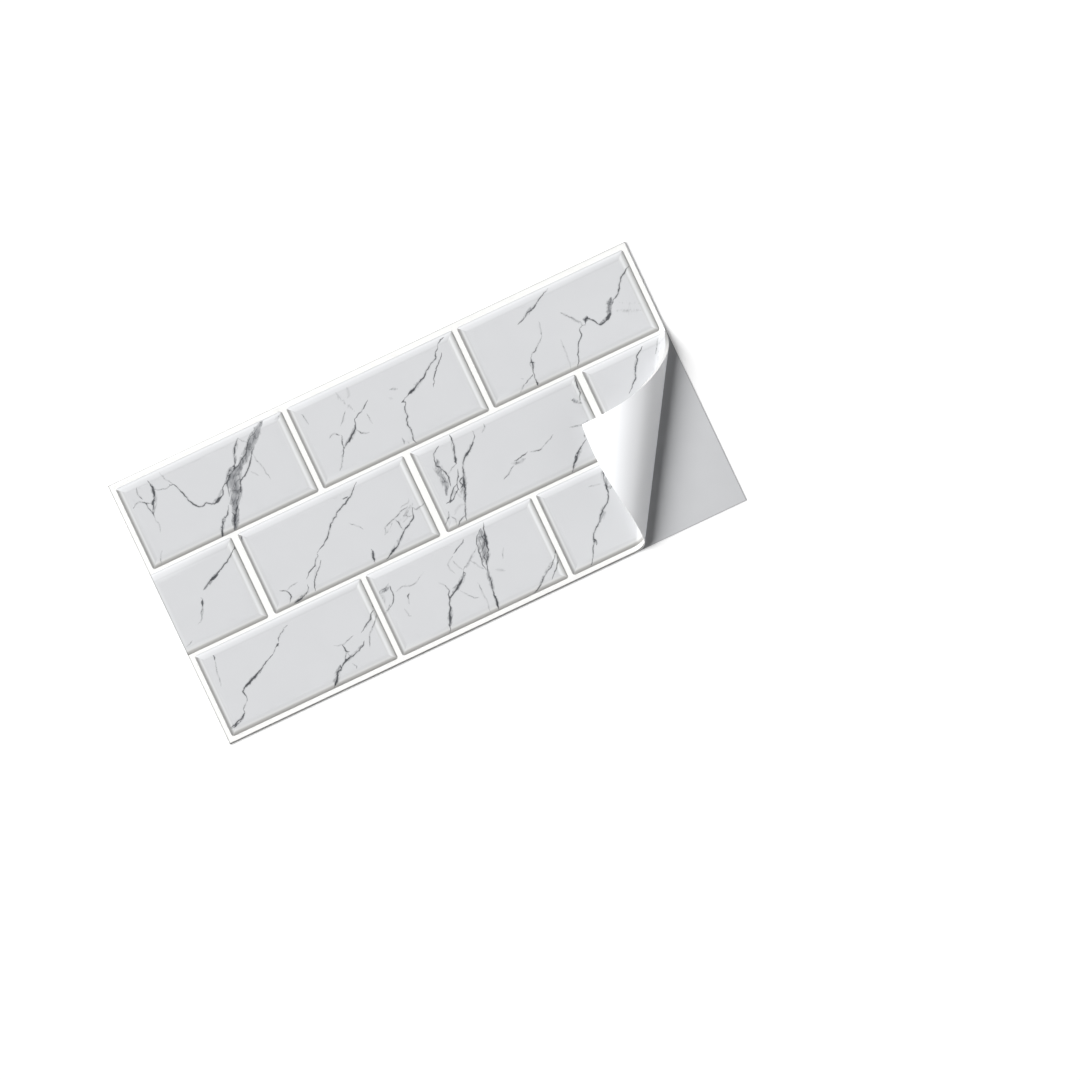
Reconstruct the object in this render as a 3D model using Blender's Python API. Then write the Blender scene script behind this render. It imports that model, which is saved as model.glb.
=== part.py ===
# Backsplash tile sheet with a self-adhesive back, one corner peeled off its release liner
# Metres, +Z up. The origin is the centre of the liner's underside, and +X runs along the sheet.
import math

import bmesh
import bpy
from mathutils import Matrix, Vector

# Sheet and liner
SHEET_LENGTH = 0.3048
SHEET_WIDTH = 0.1524
LINER_THICKNESS = 0.00025
ADHESIVE_GAP = 0.0003
FILM_THICKNESS = 0.0006

# Tile pattern: courses of whole tiles, with a middle course laid about half a tile along
TILES_PER_COURSE = 3
COURSES = 3
HEAD_JOINT = 0.0026
BED_JOINT = 0.00165
END_MARGIN = 0.0028
SIDE_MARGIN = 0.0031
MIDDLE_HEAD_JOINT = 0.00355
MIDDLE_COURSE_SHIFT = -0.0013

# Raised pad of one tile: a short steep foot, then a broad shallow bevel
PAD_CORNER_RADIUS = 0.0015
FOOT_RISE = 0.0005
FOOT_RUN = 0.0008
BEVEL_RISE = 0.0007
BEVEL_RUN = 0.0036
PAD_EMBED = 0.0003

# Peeled corner: how far it is peeled along the side and the end, the three conical bends that it follows,
# with their radii where the peel starts at the side, and how much the pull has stretched it at its tip
PEEL_ALONG_SIDE = 0.067
PEEL_ALONG_END = 0.1093
APEX_BEYOND_SIDE = 0.4243
TIGHT_BEND_RADIUS = 0.0054
TIGHT_BEND_ANGLE = math.radians(113.6)
ROUND_BEND_RADIUS = 0.018
ROUND_BEND_ANGLE = math.radians(72.0)
OPEN_BEND_RADIUS = 0.0252
TIP_STRETCH = 0.061

# Modelling values
TRIM = 0.01
FACET_ANGLE = math.radians(6.0)
CORNER_SEGMENTS = 3
ON_PLANE = 0.000001
SHARP_ANGLE = math.radians(25.0)

# Sizes that follow
UNDERSIDE = LINER_THICKNESS + ADHESIVE_GAP
FILM_TOP = UNDERSIDE + FILM_THICKNESS
TILE_LENGTH = (SHEET_LENGTH - 2 * END_MARGIN - (TILES_PER_COURSE - 1) * HEAD_JOINT) / TILES_PER_COURSE
TILE_WIDTH = (SHEET_WIDTH - 2 * SIDE_MARGIN - (COURSES - 1) * BED_JOINT) / COURSES
UP = Vector((0.0, 0.0, 1.0))
CORNER = Vector((SHEET_LENGTH / 2, -SHEET_WIDTH / 2, 0.0))
PEEL_START = CORNER - Vector((PEEL_ALONG_SIDE, 0.0, 0.0))
PEEL_END = CORNER + Vector((0.0, PEEL_ALONG_END, 0.0))
PEEL_LINE = (PEEL_END - PEEL_START).normalized()
PEEL_ACROSS = PEEL_LINE.cross(UP)
APEX = PEEL_START - PEEL_LINE * APEX_BEYOND_SIDE
CORNER_TURN = PEEL_LINE.angle(CORNER - APEX)
CLOSED_BENDS = ((TIGHT_BEND_RADIUS, TIGHT_BEND_ANGLE), (ROUND_BEND_RADIUS, ROUND_BEND_ANGLE))
CLOSED_TURN = sum(radius * angle for radius, angle in CLOSED_BENDS) / APEX_BEYOND_SIDE
OPEN_BEND_ANGLE = (CORNER_TURN - CLOSED_TURN) * APEX_BEYOND_SIDE / OPEN_BEND_RADIUS
BENDS = (*CLOSED_BENDS, (OPEN_BEND_RADIUS, OPEN_BEND_ANGLE))


def clear_scene():
    for item in list(bpy.data.objects):
        bpy.data.objects.remove(item)


def new_collection(name):
    collection = bpy.data.collections.new(name)
    bpy.context.scene.collection.children.link(collection)
    return collection


def add_object(name, bm, collection):
    mesh = bpy.data.meshes.new(name)
    bm.to_mesh(mesh)
    bm.free()
    item = bpy.data.objects.new(name, mesh)
    collection.objects.link(item)
    return item


def give_material(item, colour, roughness):
    material = bpy.data.materials.new(item.name)
    material.use_nodes = True
    shader = material.node_tree.nodes["Principled BSDF"]
    shader.inputs["Base Color"].default_value = (*colour, 1.0)
    shader.inputs["Roughness"].default_value = roughness
    item.data.materials.append(material)


def shade(item):
    item.data.shade_smooth()
    item.data.set_sharp_from_angle(angle=SHARP_ANGLE)


def box(length, width, low, high):
    """A closed box centred on the origin in plan, from the low level to the high one."""
    bm = bmesh.new()
    sides = Matrix.Diagonal((length, width, high - low, 1.0))
    middle = Matrix.Translation(UP * (low + high) / 2)
    bmesh.ops.create_cube(bm, size=1.0, matrix=middle @ sides)
    return bm


def pad_mesh():
    """One tile's raised pad, centred on the origin, with its foot sunk a little into the film."""
    bm = box(TILE_LENGTH, TILE_WIDTH, FILM_TOP - PAD_EMBED, FILM_TOP)
    upright = [edge for edge in bm.edges if abs(edge.verts[0].co.z - edge.verts[1].co.z) > PAD_EMBED / 2]
    bmesh.ops.bevel(
        bm, geom=upright, offset=PAD_CORNER_RADIUS, segments=CORNER_SEGMENTS, profile=0.5, affect="EDGES"
    )
    top = max(bm.faces, key=lambda face: face.calc_center_median().z)
    length, width = TILE_LENGTH, TILE_WIDTH
    for rise, run in ((FOOT_RISE, FOOT_RUN), (BEVEL_RISE, BEVEL_RUN)):
        top = bmesh.ops.extrude_discrete_faces(bm, faces=[top])["faces"][0]
        drawn_in = Vector(((length - 2 * run) / length, (width - 2 * run) / width, 1.0))
        bmesh.ops.scale(bm, vec=drawn_in, verts=top.verts[:])
        bmesh.ops.translate(bm, vec=UP * rise, verts=top.verts[:])
        length, width = length - 2 * run, width - 2 * run
    mesh = bpy.data.meshes.new("pad")
    bm.to_mesh(mesh)
    bm.free()
    return mesh


def pad_places():
    """The centre of each pad in plan. The outline cuts the end pads of a shifted course flush."""
    for course in range(COURSES):
        y = (course - (COURSES - 1) / 2) * (TILE_WIDTH + BED_JOINT)
        shifted = course % 2 == 1
        pitch = TILE_LENGTH + (MIDDLE_HEAD_JOINT if shifted else HEAD_JOINT)
        count = TILES_PER_COURSE + 1 if shifted else TILES_PER_COURSE
        start = MIDDLE_COURSE_SHIFT if shifted else 0.0
        for place in range(count):
            yield Vector((start + (place - (count - 1) / 2) * pitch, y, 0.0))


def all_pads():
    pad = pad_mesh()
    bm = bmesh.new()
    for place in pad_places():
        first = len(bm.verts)
        bm.from_mesh(pad)
        bm.verts.ensure_lookup_table()
        bmesh.ops.translate(bm, vec=place, verts=bm.verts[first:])
    bpy.data.meshes.remove(pad)
    return bm


def add_boolean(item, operation, helper):
    modifier = item.modifiers.new(helper.name, "BOOLEAN")
    modifier.operation = operation
    modifier.object = helper
    modifier.solver = "EXACT"


def apply_modifiers(item):
    graph = bpy.context.evaluated_depsgraph_get()
    made = bpy.data.meshes.new_from_object(item.evaluated_get(graph))
    item.modifiers.clear()
    item.data = made


def slice_turns():
    """The plan angles from the peel line at which the sheet is sliced, so that each bend is round."""
    turn = 0.0
    for radius, angle in BENDS:
        steps = math.ceil(angle / FACET_ANGLE)
        spread = angle * radius / APEX_BEYOND_SIDE
        for step in range(steps):
            yield turn + spread * step / steps
        turn += spread
    yield turn


def peeled(place):
    """Where a point of the flat sheet goes when the corner is peeled back."""
    plan = Vector((place.x, place.y, 0.0)) - APEX
    turn = math.atan2(plan.dot(PEEL_ACROSS), plan.dot(PEEL_LINE))
    if turn <= 0.0:
        return place.copy()
    reach = plan.length * (1.0 + TIP_STRETCH * (turn / CORNER_TURN) ** 2)
    along, across, up = PEEL_LINE.copy(), PEEL_ACROSS.copy(), UP.copy()
    for radius, angle in BENDS:
        cone = math.asin(radius / APEX_BEYOND_SIDE)
        used = min(turn, angle * math.sin(cone))
        spin = Matrix.Rotation(-used / math.sin(cone), 3, along * math.cos(cone) + up * math.sin(cone))
        along, across, up = spin @ along, spin @ across, spin @ up
        turn -= used
    along = along * math.cos(turn) + across * math.sin(turn)
    return APEX + UP * UNDERSIDE + along * reach + up * (place.z - UNDERSIDE)


def peel_corner(item):
    bm = bmesh.new()
    bm.from_mesh(item.data)
    for turn in slice_turns():
        normal = PEEL_ACROSS * math.cos(turn) - PEEL_LINE * math.sin(turn)
        geometry = bm.verts[:] + bm.edges[:] + bm.faces[:]
        bmesh.ops.bisect_plane(bm, geom=geometry, dist=ON_PLANE, plane_co=APEX, plane_no=normal)
    bmesh.ops.triangulate(bm, faces=bm.faces[:])
    for vert in bm.verts:
        vert.co = peeled(vert.co)
    bm.to_mesh(item.data)
    bm.free()


def hide_helper(item):
    item.hide_render = True
    item.display_type = "WIRE"


def make_liner(collection):
    liner = add_object("release_liner", box(SHEET_LENGTH, SHEET_WIDTH, 0.0, LINER_THICKNESS), collection)
    give_material(liner, (0.57, 0.58, 0.59), 0.55)


def make_tile_sheet(collection, helpers):
    film = box(SHEET_LENGTH + 2 * TRIM, SHEET_WIDTH + 2 * TRIM, UNDERSIDE, FILM_TOP)
    sheet = add_object("tile_sheet", film, collection)
    pads = add_object("pads", all_pads(), helpers)
    outline = add_object("sheet_outline", box(SHEET_LENGTH, SHEET_WIDTH, -TRIM, TRIM), helpers)
    hide_helper(pads)
    hide_helper(outline)
    add_boolean(sheet, "UNION", pads)
    add_boolean(sheet, "INTERSECT", outline)
    apply_modifiers(sheet)
    peel_corner(sheet)
    give_material(sheet, (0.69, 0.71, 0.73), 0.3)
    shade(sheet)


def main():
    clear_scene()
    parts = new_collection("backsplash_tile")
    helpers = new_collection("helpers")
    make_liner(parts)
    make_tile_sheet(parts, helpers)


main()
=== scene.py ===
import math

import bmesh
import bpy
import numpy as np
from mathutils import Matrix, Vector, geometry, kdtree, noise


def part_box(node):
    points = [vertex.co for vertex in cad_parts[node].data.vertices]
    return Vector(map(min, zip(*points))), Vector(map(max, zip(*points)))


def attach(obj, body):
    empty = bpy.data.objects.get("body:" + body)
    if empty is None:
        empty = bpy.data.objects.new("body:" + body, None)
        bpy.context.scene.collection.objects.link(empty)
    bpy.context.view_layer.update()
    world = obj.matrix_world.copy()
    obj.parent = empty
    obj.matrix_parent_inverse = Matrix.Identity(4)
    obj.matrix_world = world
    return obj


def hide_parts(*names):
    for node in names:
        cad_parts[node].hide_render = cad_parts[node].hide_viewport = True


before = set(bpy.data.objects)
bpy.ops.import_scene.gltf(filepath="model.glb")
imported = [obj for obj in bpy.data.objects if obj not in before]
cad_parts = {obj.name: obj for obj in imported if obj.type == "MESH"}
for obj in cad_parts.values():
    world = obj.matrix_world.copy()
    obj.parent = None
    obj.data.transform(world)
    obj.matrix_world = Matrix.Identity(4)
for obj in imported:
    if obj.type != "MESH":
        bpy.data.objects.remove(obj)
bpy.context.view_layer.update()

MM = 0.001
UP = Vector((0.0, 0.0, 1.0))

# The sheet and its liner, whose outline and top come from the frame
LINER_LOW, LINER_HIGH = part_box("release_liner")
SHEET_LENGTH = LINER_HIGH.x - LINER_LOW.x
SHEET_WIDTH = LINER_HIGH.y - LINER_LOW.y
ADHESIVE_GAP = 0.3 * MM
FILM_THICKNESS = 0.6 * MM
UNDERSIDE = LINER_HIGH.z + ADHESIVE_GAP

# Tile pattern
TILES_PER_COURSE = 3
COURSES = 3
HEAD_JOINT = 2.6 * MM
BED_JOINT = 1.65 * MM
END_MARGIN = 2.8 * MM
SIDE_MARGIN = 3.1 * MM
MIDDLE_HEAD_JOINT = 3.55 * MM
MIDDLE_COURSE_SHIFT = -1.3 * MM
TILE_LENGTH = (SHEET_LENGTH - 2 * END_MARGIN - (TILES_PER_COURSE - 1) * HEAD_JOINT) / TILES_PER_COURSE
TILE_WIDTH = (SHEET_WIDTH - 2 * SIDE_MARGIN - (COURSES - 1) * BED_JOINT) / COURSES

# Relief of one tile, with how softly its bevel meets its top, and of the sheet's cut edge. Then how far the
# adhesive fills the gap under the sheet, and the plan angle over which that filling ends at the peel line
CORNER_RADIUS = 1.5 * MM
FOOT_RISE = 0.5 * MM
FOOT_RUN = 0.8 * MM
BEVEL_RISE = 0.7 * MM
BEVEL_RUN = 3.6 * MM
BEVEL_EASE = 0.1
EDGE_DROP = 0.12 * MM
EDGE_RUN = 0.35 * MM
ADHESIVE_FILL = 0.27 * MM
ADHESIVE_EDGE_TURN = 0.0004

# Peeled corner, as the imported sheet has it
PEEL_ALONG_SIDE = 67.0 * MM
PEEL_ALONG_END = 109.3 * MM
APEX_BEYOND_SIDE = 424.3 * MM
CLOSED_BENDS = ((5.4 * MM, math.radians(113.6)), (18.0 * MM, math.radians(72.0)))
OPEN_BEND_RADIUS = 25.2 * MM
TIP_STRETCH = 0.061
CORNER = Vector((SHEET_LENGTH / 2, -SHEET_WIDTH / 2, 0.0))
PEEL_START = CORNER - Vector((PEEL_ALONG_SIDE, 0.0, 0.0))
PEEL_END = CORNER + Vector((0.0, PEEL_ALONG_END, 0.0))
PEEL_LINE = (PEEL_END - PEEL_START).normalized()
PEEL_ACROSS = PEEL_LINE.cross(UP)
APEX = PEEL_START - PEEL_LINE * APEX_BEYOND_SIDE
CORNER_TURN = PEEL_LINE.angle(CORNER - APEX)
CLOSED_TURN = sum(radius * angle for radius, angle in CLOSED_BENDS) / APEX_BEYOND_SIDE
OPEN_BEND_ANGLE = (CORNER_TURN - CLOSED_TURN) * APEX_BEYOND_SIDE / OPEN_BEND_RADIUS
BENDS = (*CLOSED_BENDS, (OPEN_BEND_RADIUS, OPEN_BEND_ANGLE))
BEND_NAMES = ("Tight", "Round", "Open")

# How the routes of the print, which are read off, lie on the sheet
READ_SCALE = 0.9978
READ_TURN = math.radians(0.09)
READ_SHIFT = (0.72, -0.23)

# Marble veins by kind: half width in mm, tone, and routes in mm from the sheet's lower left corner
VEINS = {
    "main": (0.4, 1.0, (
        ((19.5, 146.5), (20, 144), (20.5, 141.5), (20, 139.5), (19.3, 137.5), (18.3, 135.5), (17.3, 134.5),
         (16, 132), (15, 130.5), (14.6, 128.5)),
        ((29, 139.3), (31, 139), (32, 137), (33, 134.5), (34, 131.5), (34.7, 128), (35.5, 126), (37, 123.5),
         (38, 122), (40, 121.8), (43, 122.2), (45, 120.7), (47, 120), (49, 120.3), (51, 121.5), (52.5, 122.5),
         (53.3, 124), (54, 126.2), (56, 127), (58, 127.8)),
        ((73, 146.5), (71.5, 145.3), (70.3, 143.5), (69, 142.5), (68.3, 141), (67, 139), (66.5, 137),
         (66, 135.5), (64.8, 133.5), (63, 131.5)),
        ((78.5, 138.3), (77, 137), (75, 134.5), (73.5, 132.5), (71.5, 130), (70, 128.5), (68, 127),
         (66, 126.3), (64.5, 125.5), (63.3, 122.5), (62, 120.5), (60, 118.3), (58, 116)),
        ((58, 116.3), (57, 113.5), (55, 111), (54, 109), (52.5, 106.5), (51, 103)),
        ((53, 115.8), (52, 114), (50.5, 112), (48.5, 111), (46.8, 110.5), (46, 108.5), (45, 107), (44, 105),
         (43.3, 103.5), (42.5, 102.5)),
        ((133.7, 129), (132.8, 126.5), (131.8, 124), (130, 122.5), (127.5, 120.8), (126, 119.8),
         (123.5, 118.2), (121.5, 117), (120, 114.5)),
        ((191, 146), (190, 144), (188, 142.3), (187.3, 141), (187.3, 139.8), (185, 139), (183, 138),
         (181, 136.8), (179, 135), (177, 133.3), (174, 132), (171, 130.7), (168.5, 129.3), (165, 128.3),
         (162.5, 127.2), (160.5, 126.3)),
        ((162, 125.5), (162, 124.5), (160.5, 123), (160, 120.5), (159.5, 118), (158.3, 116), (158, 113),
         (158.3, 110.5), (157.8, 108), (157, 105.5), (158, 103)),
        ((301, 140), (299, 139), (297, 137.3), (295, 136.3), (293.5, 134.7), (292, 132.8), (290.5, 130.5),
         (289.5, 128.8), (287.5, 127.8), (285.5, 126.8), (284, 125.3)),
        ((281.5, 121.5), (281, 120), (279, 119), (276.5, 118.5), (274, 117.7), (273, 119), (272, 121),
         (271, 122.5), (269.5, 123.5), (268, 124.3), (267, 122)),
        ((46, 93.7), (44.5, 93.3), (43, 92), (41.5, 90.5), (40, 89.7), (37.5, 88.5), (35, 87.3), (33, 86.2),
         (31.5, 85.2), (29.5, 84.5), (27, 84), (25, 83)),
        ((120, 98), (118, 96.5), (116, 94.5), (114, 92.5), (111, 91), (110, 90.4), (106, 89), (104, 88),
         (102, 86), (100, 85), (97, 82.5), (95.5, 80.3), (93.5, 78), (90.5, 76), (88, 74.5), (85, 73)),
        ((141, 73), (140.5, 71), (139.5, 68), (137.5, 66.3), (134.8, 65), (132.5, 64), (130, 62),
         (127.5, 59.5), (125, 57.5), (122.5, 56.5), (120, 55), (117, 53.8)),
        ((176, 99.5), (175.8, 97), (175.3, 93), (174, 89.5), (173, 86.5), (172.3, 83.5)),
        ((188, 96), (187.5, 93.5), (186, 91.5), (185, 90), (183, 88), (181, 86.8), (178.5, 85.8),
         (176.5, 83.5), (174.8, 81), (174.2, 79), (173.5, 76.5), (172, 74), (171.5, 71), (170.3, 69),
         (169.5, 66.5), (167.5, 62.5), (166.3, 60), (165.5, 58), (164.5, 54)),
        ((162.5, 91), (162.2, 88), (163.5, 86), (165.5, 82), (165.8, 79), (165, 76), (164.5, 74.5)),
        ((235.5, 62.7), (233.5, 61), (232, 59.5), (230.5, 58), (229, 56.5), (228, 55), (226.5, 53.3)),
        ((289, 98), (288, 96.5), (286.5, 96), (285, 95.5), (284, 94.5), (283.3, 92.5), (282, 90.5),
         (280.3, 88.5), (279.5, 86), (278.5, 84), (276, 82), (274, 80), (272, 78.5)),
        ((40, 34), (38, 33), (35, 31.7), (32, 30), (30, 28.8), (28, 28), (25.5, 27.5), (23, 26.5),
         (20.5, 25.2), (18.5, 24.3), (17.5, 23), (17.3, 21.5), (17.8, 19.5), (17.5, 18), (16.3, 16.8)),
        ((13.5, 14.3), (13.2, 12.3), (12, 11.3), (10.5, 10.5), (8, 9.7), (5.5, 8.7), (3, 8)),
        ((84, 17), (82, 15.8), (80, 15.2), (78, 14.8), (76, 14.7), (73.5, 14), (71.5, 12.8), (70, 11.5),
         (68.5, 10.8), (67, 9.5), (66, 8), (64.8, 6.7), (63.5, 5), (62, 3.7)),
        ((151, 30), (150, 28), (149, 26.8), (147.5, 25.3), (145.5, 24), (143.5, 23), (142, 22.5),
         (140.5, 21.5), (138.5, 20.7), (137.5, 19), (136.8, 17), (136.3, 15), (135, 13.2), (134, 11),
         (133, 9), (132.3, 7.5), (131.5, 5), (130.8, 3.8)),
        ((172, 49), (171, 47), (170.5, 44.5), (170, 42.5), (169.5, 40.5), (169.3, 38.5), (168.5, 36.5),
         (167.5, 34), (166.5, 32), (165.5, 31), (164.5, 29.5), (163.7, 27.5), (163, 25)),
        ((162.3, 19), (161.3, 16.5), (160.8, 13), (160.3, 10), (160, 7), (159.7, 3.5)),
        ((243.5, 49), (242, 47), (241, 45), (240.3, 43), (239.8, 41), (239.5, 38.5), (239, 35), (238.5, 33.5),
         (237.5, 32), (236, 30.5), (235, 30), (233.5, 29), (232, 27.3), (230.5, 26), (229, 24.5), (228.3, 23),
         (226.5, 22), (225, 21), (223.5, 19.5), (222, 17.5), (221.3, 15.5), (220, 13), (218.7, 10.5),
         (217.5, 8), (216, 6), (214, 4)),
        ((296, 46), (292, 41), (289, 36), (284, 32), (280, 28), (276, 24), (271, 20), (267, 14), (262, 9),
         (258, 4)),
    )),
    "fine": (0.3, 1.0, (
        ((84, 146.3), (81, 144.7), (79, 144), (76.5, 141.5), (74.5, 139), (73, 137), (70, 135.5),
         (67.5, 133.5), (65, 132.5), (62.5, 131.5), (60, 130), (58, 127.8), (57, 126), (56.5, 123),
         (55.5, 120)),
        ((53, 112), (53.5, 110), (52.5, 108), (51.5, 105.5), (50, 103)),
        ((144, 135), (141.5, 132.8), (139, 131.3), (136, 130), (133.5, 129)),
        ((190.7, 141), (190, 139.5), (188.5, 138), (187, 136.5), (185, 134.8), (183.5, 133.3), (182, 131.3),
         (180.7, 129), (179, 126.3)),
        ((195.5, 148), (193, 147), (191, 146)),
        ((160.3, 126.3), (161.5, 126), (162.2, 125)),
        ((123.5, 124), (123.3, 122.3), (122, 120), (121.5, 117.5)),
        ((254, 146.3), (250, 144.3), (248, 143.2), (246, 141.8), (244, 140.8), (241, 140.3), (239, 139)),
        ((266.5, 121.5), (264.5, 122), (263, 121), (262.5, 119.5), (262.5, 117.5), (261, 116), (259.5, 114.5),
         (258, 112), (257, 110.3), (256, 108.3), (255.5, 106.5), (254.5, 104.5), (253.3, 102.8)),
        ((232.5, 118), (232, 116.5), (232.5, 115), (231.5, 113), (231, 111.5), (230.5, 110)),
        ((230, 109.5), (228, 108.7), (226, 107.7), (224, 106.7)),
        ((32, 85), (29, 83.8), (27, 83.7)),
        ((84.8, 72.5), (84.5, 71), (82.5, 69.7), (81.5, 68), (81.2, 67), (79.5, 67), (77, 65.5), (74, 63)),
        ((85, 68.5), (83.5, 66.3), (81, 64), (78, 61), (77, 59.5), (75, 55)),
        ((58, 63), (61, 61.8), (62.3, 60), (62.5, 57.5), (60, 54.8)),
        ((51.5, 96), (52.5, 98.5)),
        ((109.5, 93.5), (110, 92.8), (112.5, 93)),
        ((172, 81), (171, 78.5), (169.5, 76), (168.5, 74.5), (167.5, 72.5), (167.8, 70.5)),
        ((168, 74), (166, 73), (164, 71.5), (162, 69), (160.5, 67.5), (158.5, 66.8)),
        ((167.5, 71.5), (165.5, 70), (163, 67.5), (160, 66.5)),
        ((173, 75.5), (171.5, 76), (170, 74.5), (170.5, 72), (168.8, 71)),
        ((250, 100), (249, 97), (248.8, 93), (248.5, 90), (247.5, 87.5), (246.5, 86)),
        ((201, 72), (205, 72.3), (208, 73), (209.5, 73.5)),
        ((241, 66), (238.5, 65), (236, 63), (234, 62), (232, 60.7), (230.8, 59.2)),
        ((11, 47.3), (11.5, 46), (11, 44.5)),
        ((99, 32.5), (97, 31), (96, 30.2), (95.8, 28.8), (94.5, 28), (92.5, 27.2), (90, 25.7), (88, 24.2)),
        ((87.5, 19.5), (86, 17.8), (84, 17)),
        ((70.5, 13.2), (69.5, 11), (67.5, 10.8), (66.8, 8.8)),
        ((76, 22.3), (76.4, 20.5), (76.3, 18.5), (78, 18)),
        ((120.3, 32.3), (118.7, 31.3), (118.5, 30)),
        ((112.3, 40.5), (112.2, 37.5), (111.8, 34.5), (110.5, 32), (109, 30.5), (107.5, 29.7)),
        ((158.5, 46), (157.5, 44.5), (156, 43.7), (154, 43.3), (152, 42), (150.5, 41)),
        ((151.3, 30.2), (151.6, 28.7), (150.5, 27.5)),
        ((139.3, 27.5), (140, 24.5), (138.8, 23), (138.3, 21)),
        ((169.5, 47), (166.5, 45), (164.8, 43), (164, 40.5), (163.5, 37), (163, 34.5), (162.5, 31), (162, 28),
         (162.5, 26)),
        ((168.5, 45.5), (168, 43), (168.5, 40.5), (167.3, 38), (165.5, 36.5), (165, 34.5)),
        ((166.5, 36), (165.5, 34), (164.3, 33), (164.5, 31)),
        ((199, 17), (198, 15.8), (196.5, 14.8), (196, 13.5), (194.5, 12.3), (192, 11.2), (190, 10),
         (188, 8.7), (186.5, 7), (184.5, 5.5), (182.5, 4.3), (180, 3.7)),
        ((200, 16), (199.5, 14), (198, 12), (196, 10), (194, 8), (192, 6.3)),
        ((244, 39), (242.5, 37.5), (241, 36.8)),
        ((222, 16), (222.3, 14), (221.5, 12.5)),
        ((281, 41), (277, 36), (276, 30), (272, 26)),
    )),
    "side": (0.34, 0.86, (
        ((6, 136.5), (8.5, 137.8), (10.5, 138.3), (12.5, 137), (14, 135.5), (16.5, 134.8)),
        ((13, 137), (13.5, 134.5), (14, 132), (14.5, 130), (14.5, 127)),
        ((12.5, 145.5), (11.5, 142.5), (12.3, 140), (13, 138.5)),
        ((65, 134.5), (62.5, 133.5), (60, 131.5), (58, 129.5)),
        ((117, 125.5), (119, 126.3), (121, 126.3), (123, 124.5)),
        ((120.5, 115), (118, 111.5), (116.5, 109), (114.5, 107.3)),
        ((132, 123), (133.5, 121), (135.5, 119.5), (137.5, 119)),
        ((257, 147.5), (253, 145.8), (250, 144.3)),
        ((239, 139), (236.5, 137.8), (234, 137)),
        ((243, 125.8), (241, 124), (238.5, 122), (236.5, 120.5), (234.5, 119.7), (232.5, 118)),
        ((230.3, 114), (231, 115.5), (232.5, 115.8), (233.5, 114.5)),
        ((230.5, 110), (230, 107), (230, 103)),
        ((224, 106.7), (222.5, 106), (221, 104.8), (220, 103.7)),
        ((25, 83), (23.5, 82), (21.5, 81.2)),
        ((18.5, 78), (18.8, 76), (18, 74.3), (17, 73)),
        ((73, 60), (72.5, 57.5), (70.5, 55.8), (68, 54.8), (64, 53.8), (62, 53.6)),
        ((139.5, 74.5), (136, 74), (133, 72.8), (130, 71.8), (126, 70.5), (123.5, 69.5), (122.8, 67.5),
         (121.5, 66)),
        ((131.5, 64), (131, 68), (130.5, 71)),
        ((141.5, 73), (142.5, 71), (145, 71.5), (148, 72.3)),
        ((168, 96.5), (164, 94), (162.5, 91)),
        ((195, 97), (194.5, 95), (192, 93)),
        ((158, 63), (157, 60), (153, 57)),
        ((164.5, 57), (162, 56), (159, 53.5)),
        ((192, 65.5), (196, 67.5), (200, 70)),
        ((211, 72.5), (216, 71.5), (219, 72.5)),
        ((235.5, 75.5), (239, 74.7), (242, 74.2), (246, 74.6)),
        ((241, 69), (240.3, 67)),
        ((54, 44.5), (51.5, 43.7), (49, 42.5), (47.5, 41), (46, 39.5), (45.5, 38.3)),
        ((16.3, 16.8), (14.5, 15.5), (13.5, 14.3)),
        ((12.5, 11.5), (11, 10), (9, 9), (6, 7.8), (3, 7.7)),
        ((99.5, 29.5), (98, 27.5), (96.5, 26), (94.5, 24), (92.3, 22.3), (91, 20.5), (90, 18.5),
         (88.8, 15.5)),
        ((73, 13.8), (74.5, 16), (76, 18), (76.5, 19.5)),
        ((106, 39.5), (107.5, 40.3), (109.5, 40.2), (111.5, 40.8), (112.5, 41.8)),
        ((163, 25), (162.8, 22), (162.3, 19)),
        ((149, 27.5), (147, 26), (145, 25), (142, 24.7)),
        ((204.5, 45), (204, 41.5)),
        ((299, 98.5), (297, 95.5), (295, 92.5), (294, 91)),
        ((296, 68), (290, 64), (286, 60), (280, 57), (277, 54)),
    )),
    "hair": (0.28, 0.76, (
        ((20.5, 142), (22, 140), (24, 139), (27, 138.3), (29.5, 139.3)),
        ((31, 139.5), (29.5, 141.5), (28.5, 143), (27.5, 146), (27, 148)),
        ((14.5, 127), (14.3, 125.5), (15.2, 123), (15, 121.5), (14, 119)),
        ((76.5, 135.5), (76.8, 132), (78, 128), (78.5, 124.5), (79, 121), (79.3, 119)),
        ((71.5, 127.5), (72.5, 126), (74.5, 123.5)),
        ((10.5, 109.5), (9, 107.5), (7.5, 105), (7, 103)),
        ((73, 146), (74.5, 144), (76, 142.5)),
        ((131, 135), (127.5, 131), (125.5, 129)),
        ((141, 129), (140.8, 126), (141, 122.5)),
        ((152, 109), (152.5, 107), (151.5, 105.5)),
        ((154, 106), (154.3, 104.5)),
        ((109, 143.5), (110, 140), (110.3, 136.5)),
        ((245, 134), (244.3, 131), (243.5, 128), (243, 126)),
        ((257.5, 133), (259, 131), (260.5, 129), (262, 127.5), (263, 126), (264.5, 124.5), (265.5, 122)),
        ((251.5, 120), (251, 114), (250.5, 110), (250, 106), (249.5, 103)),
        ((223.3, 110.3), (224.5, 109.3)),
        ((4.5, 59), (2, 58), (0, 57.3)),
        ((17, 73), (15.8, 71.3), (15, 69.5), (14.3, 67.5), (12.5, 66), (11, 65.5)),
        ((61.5, 61.5), (65, 63), (69, 63.2)),
        ((141.5, 78), (140.8, 76.5), (139.5, 76), (135.5, 75.6)),
        ((107, 80), (110, 77), (112.5, 74)),
        ((135, 71.5), (137, 69.5), (139, 69)),
        ((133, 68), (136, 69), (138.5, 72.5)),
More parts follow.
